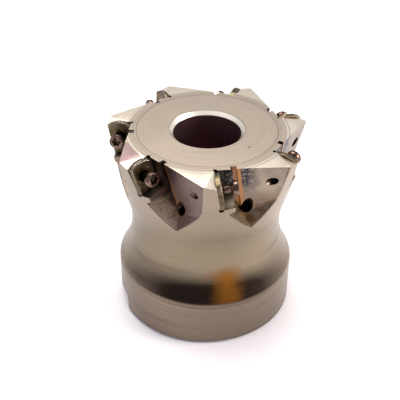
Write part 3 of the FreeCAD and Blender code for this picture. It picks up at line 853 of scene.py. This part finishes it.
@dataclass
class CutterBody:
    """The one-piece body, with its sharp outer edges broken as a deburring tool leaves them.

    Sizes are in millimetres, angles in degrees.
    """

    edge_break: float = 0.16
    sharpest: float = 16.0
    flat_below: float = 0.4
    smooth_below: float = 28.0
    merge: float = 0.002
    finish: BareToolSteel = field(default_factory=BareToolSteel)
    edge: WornEdge = field(default_factory=WornEdge)

    def break_edges(self, piece: bpy.types.Object) -> int:
        """Bevel the piece's outer edges.

        Args:
            piece: The merged copy of the body.

        Returns:
            How many edges were bevelled.
        """
        mesh = bmesh.new()
        mesh.from_mesh(piece.data)
        bmesh.ops.remove_doubles(mesh, verts=mesh.verts, dist=self.merge * MM)
        bmesh.ops.dissolve_limit(mesh, angle_limit=math.radians(self.flat_below),
                                 verts=mesh.verts, edges=mesh.edges)
        weight = mesh.edges.layers.float.new("bevel_weight_edge")
        outer = [edge for edge in mesh.edges if edge.is_manifold and self.is_outer(edge)]
        for edge in outer:
            edge[weight] = 1.0
        mesh.to_mesh(piece.data)
        mesh.free()
        clear_selection()
        piece.select_set(True)
        bpy.context.view_layer.objects.active = piece
        bevel = piece.modifiers.new("edge break", "BEVEL")
        bevel.limit_method = "WEIGHT"
        bevel.width = self.edge_break * MM
        bevel.segments = 2
        bevel.material = BodyFace.EDGE
        bpy.ops.object.modifier_apply(modifier=bevel.name)
        bpy.ops.object.shade_smooth_by_angle(angle=math.radians(self.smooth_below))
        weighted = piece.modifiers.new("flat faces stay flat", "WEIGHTED_NORMAL")
        weighted.keep_sharp = True
        bpy.ops.object.modifier_apply(modifier=weighted.name)
        return len(outer)

    def is_outer(self, edge: bmesh.types.BMEdge) -> bool:
        """Say whether an edge stands out, so a deburring tool reaches it."""
        return edge.calc_face_angle_signed(0.0) > math.radians(self.sharpest)

    def build(self) -> None:
        """Copy the body, break its edges and dress it."""
        node = frame["nodes"]["cutter_body"]
        piece = bpy.data.objects.new("milled_body", node.data.copy())
        bpy.context.collection.objects.link(piece)
        piece.data.materials.clear()
        piece.data.materials.append(self.finish.material())
        piece.data.materials.append(self.edge.material())
        edges = self.break_edges(piece)
        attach(piece, "mill")
        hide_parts("cutter_body")
        LOG.info("cutter body: %d edges broken", edges)


@dataclass
class Studio:
    """Floor, soft lights and camera. Sizes are in metres, angles in degrees."""

    heading: float = -19.79
    elevation: float = 35.27
    roll: float = 0.70
    distance: float = 0.27108
    aim: tuple[float, float, float] = (-0.00204, 0.0, 0.03771)
    lens: float = 71.77
    lit_point: tuple[float, float, float] = (0.0, 0.0, 0.04)
    room_light: float = 0.70
    room_colour: str = "#EDEBF2"
    floor_size: float = 8.0
    floor_gap: float = 0.0001

    def around(self, place: tuple[float, float, float]) -> Vector:
        """Turn a place given as right, away and up from the camera's heading."""
        return Matrix.Rotation(math.radians(self.heading), 3, "Z") @ Vector(place)

    def add_floor(self) -> None:
        """Lay the white floor."""
        clear_selection()
        bpy.ops.mesh.primitive_plane_add(size=self.floor_size,
                                         location=(0, 0, CAD_BOX[0][2] - self.floor_gap))
        floor = bpy.context.object
        floor.name = "floor"
        floor.data.materials.append(WhiteCard().material())

    def add_light(self, name: str, place: tuple[float, float, float], size: float,
                  power: float, colour: str) -> None:
        """Hang a square soft light that faces the tool.

        Args:
            name: The light's name.
            place: Right, away and up from the tool.
            size: Its side.
            power: Its power in watts.
            colour: Its colour.
        """
        light = bpy.data.lights.new(name, "AREA")
        light.shape = "SQUARE"
        light.size = size
        light.energy = power
        light.color = linear(colour)[:3]
        lamp = bpy.data.objects.new(name, light)
        lamp.location = self.around(place)
        gaze = Vector(self.lit_point) - lamp.location
        lamp.rotation_euler = gaze.to_track_quat("-Z", "Y").to_euler()
        bpy.context.collection.objects.link(lamp)

    def add_camera(self) -> None:
        """Set up the camera."""
        aim = self.around(self.aim)
        rise = math.radians(self.elevation)
        back = self.around((0, -math.cos(rise), math.sin(rise)))
        right = self.around((1, 0, 0))
        up = back.cross(right)
        tilt = math.radians(self.roll)
        side = right * math.cos(tilt) + up * math.sin(tilt)
        camera = bpy.data.objects.new("camera", bpy.data.cameras.new("camera"))
        camera.data.lens = self.lens
        camera.data.clip_start = 0.01
        place = Matrix((side, back.cross(side), back)).transposed().to_4x4()
        place.translation = aim + back * self.distance
        camera.matrix_world = place
        bpy.context.collection.objects.link(camera)
        bpy.context.scene.camera = camera

    def add_world(self) -> None:
        """Fill the room with soft, even light."""
        world = bpy.data.worlds.new("room")
        world.use_nodes = True
        room = world.node_tree.nodes["Background"]
        room.inputs["Color"].default_value = linear(self.room_colour)
        room.inputs["Strength"].default_value = self.room_light
        bpy.context.scene.world = world
        bpy.context.scene.view_settings.view_transform = "Standard"

    def build(self) -> None:
        """Build the whole studio."""
        self.add_floor()
        self.add_world()
        self.add_light("key", (-0.13, 0.205, 0.775), 0.45, 6.0, "#FFF9F1")
        self.add_light("side", (0.6, -0.1, 0.35), 0.35, 4.8, "#FFF6EC")
        self.add_light("left", (-0.6, -0.25, 0.30), 0.35, 0.7, "#F5F0FF")
        self.add_camera()
        LOG.info("studio ready")


def main() -> None:
    """Build every part in order."""
    logging.basicConfig(level=logging.INFO, format="%(name)s: %(message)s")
    CutterBody().build()
    ShimSeats().build()
    InsertScrew().build()
    Studio().build()


if __name__ == "__main__":
    main()
